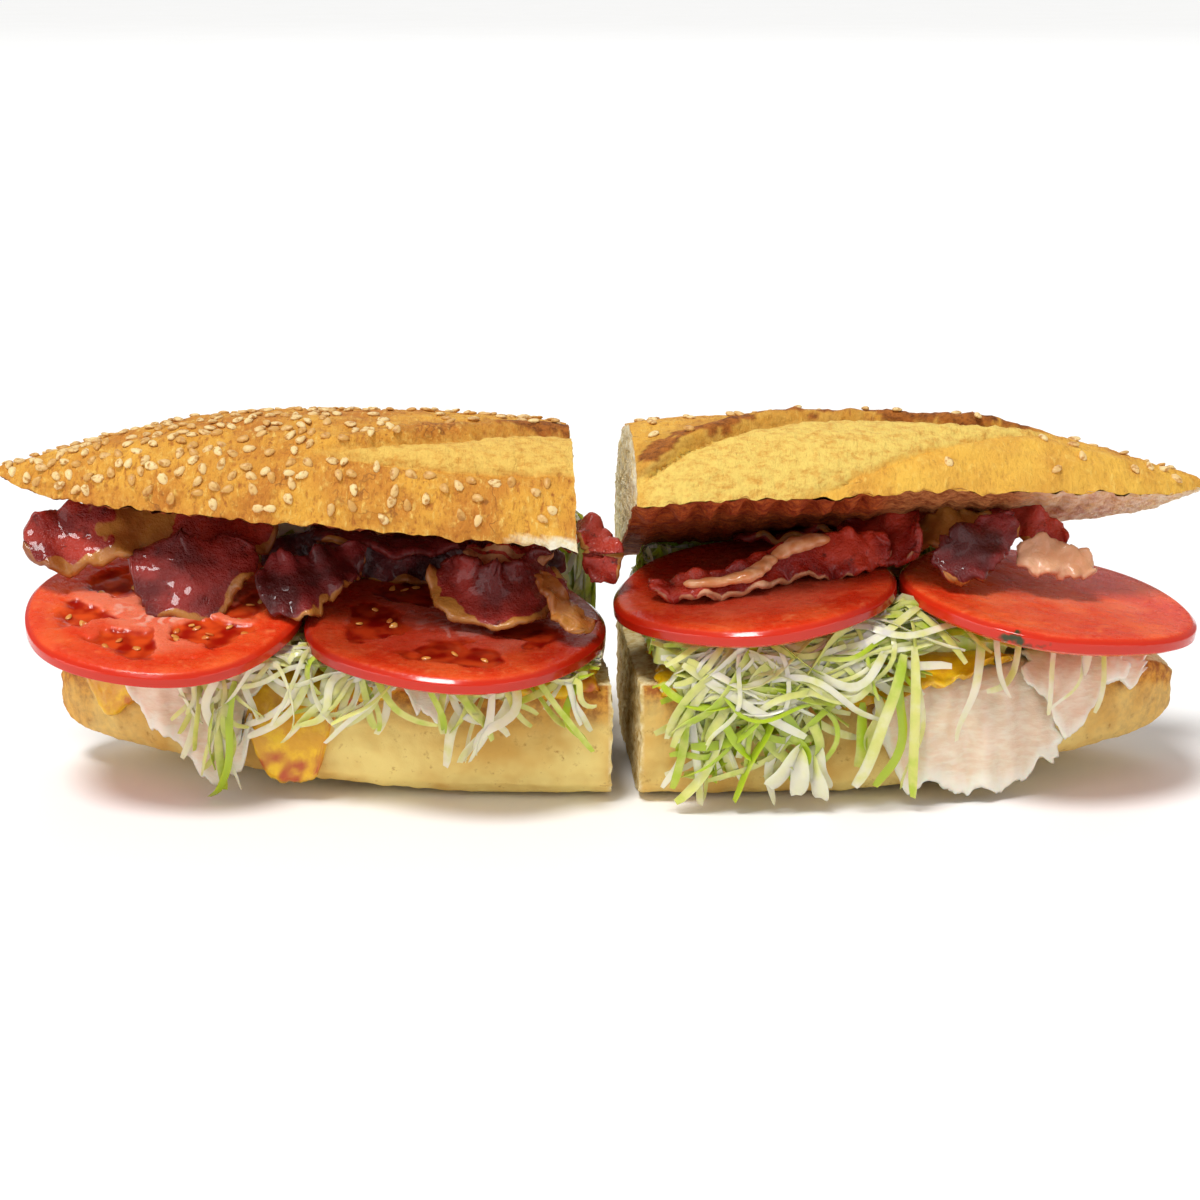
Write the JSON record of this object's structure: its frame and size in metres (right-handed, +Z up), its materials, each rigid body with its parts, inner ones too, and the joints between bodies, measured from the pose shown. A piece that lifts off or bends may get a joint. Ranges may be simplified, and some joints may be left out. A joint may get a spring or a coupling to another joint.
{
  "type": "hot turkey and bacon sandwich on a long roll, cut in two",
  "caption": "Long sesame-seeded roll cut across into halves, filled with turkey, melted cheese, shredded lettuce, tomato slices and bacon.",
  "frame": {"origin": "middle of the underside of the whole sandwich's box, on the surface it stands on", "axes": "+X along the roll towards the right half's tip, -Y the open front with the filling in view, +Z up"},
  "size_m": [0.3046, 0.0962, 0.0926],
  "materials": {
    "roll_lid": "toasted seeded crust, satin",
    "roll_base": "pale yellow-tan crust, matt",
    "cheese": "melted and browned, oily sheen",
    "turkey": "moist, slightly see-through",
    "lettuce": "wet, crisp",
    "tomato": "wet cut flesh under a smooth skin",
    "bacon": "fried, greasy gloss"
  },
  "bodies": {
    "root": {"base_left": "roll_base", "base_right": "roll_base", "cheese_left_1": "cheese", "cheese_left_2": "cheese", "cheese_right_1": "cheese", "cheese_right_2": "cheese", "turkey_left_1": "turkey", "turkey_left_2": "turkey", "turkey_right_1": "turkey", "turkey_right_2": "turkey", "turkey_right_3": "turkey", "turkey_right_4": "turkey", "tomato_left_1": "tomato", "tomato_left_2": "tomato", "tomato_right_1": "tomato", "tomato_right_2": "tomato", "lid_left": "roll_lid", "lid_right": "roll_lid", "bacon_left_1": "bacon", "bacon_left_2": "bacon", "bacon_left_3": "bacon", "bacon_left_4": "bacon", "bacon_left_5": "bacon", "bacon_left_6": "bacon", "bacon_left_7": "bacon", "bacon_right_1": "bacon", "bacon_right_2": "bacon", "bacon_right_3": "bacon", "bacon_right_4": "bacon", "bacon_right_5": "bacon", "bacon_right_6": "bacon", "lettuce_left": "lettuce", "lettuce_right": "lettuce"}
  },
  "joints": []
}
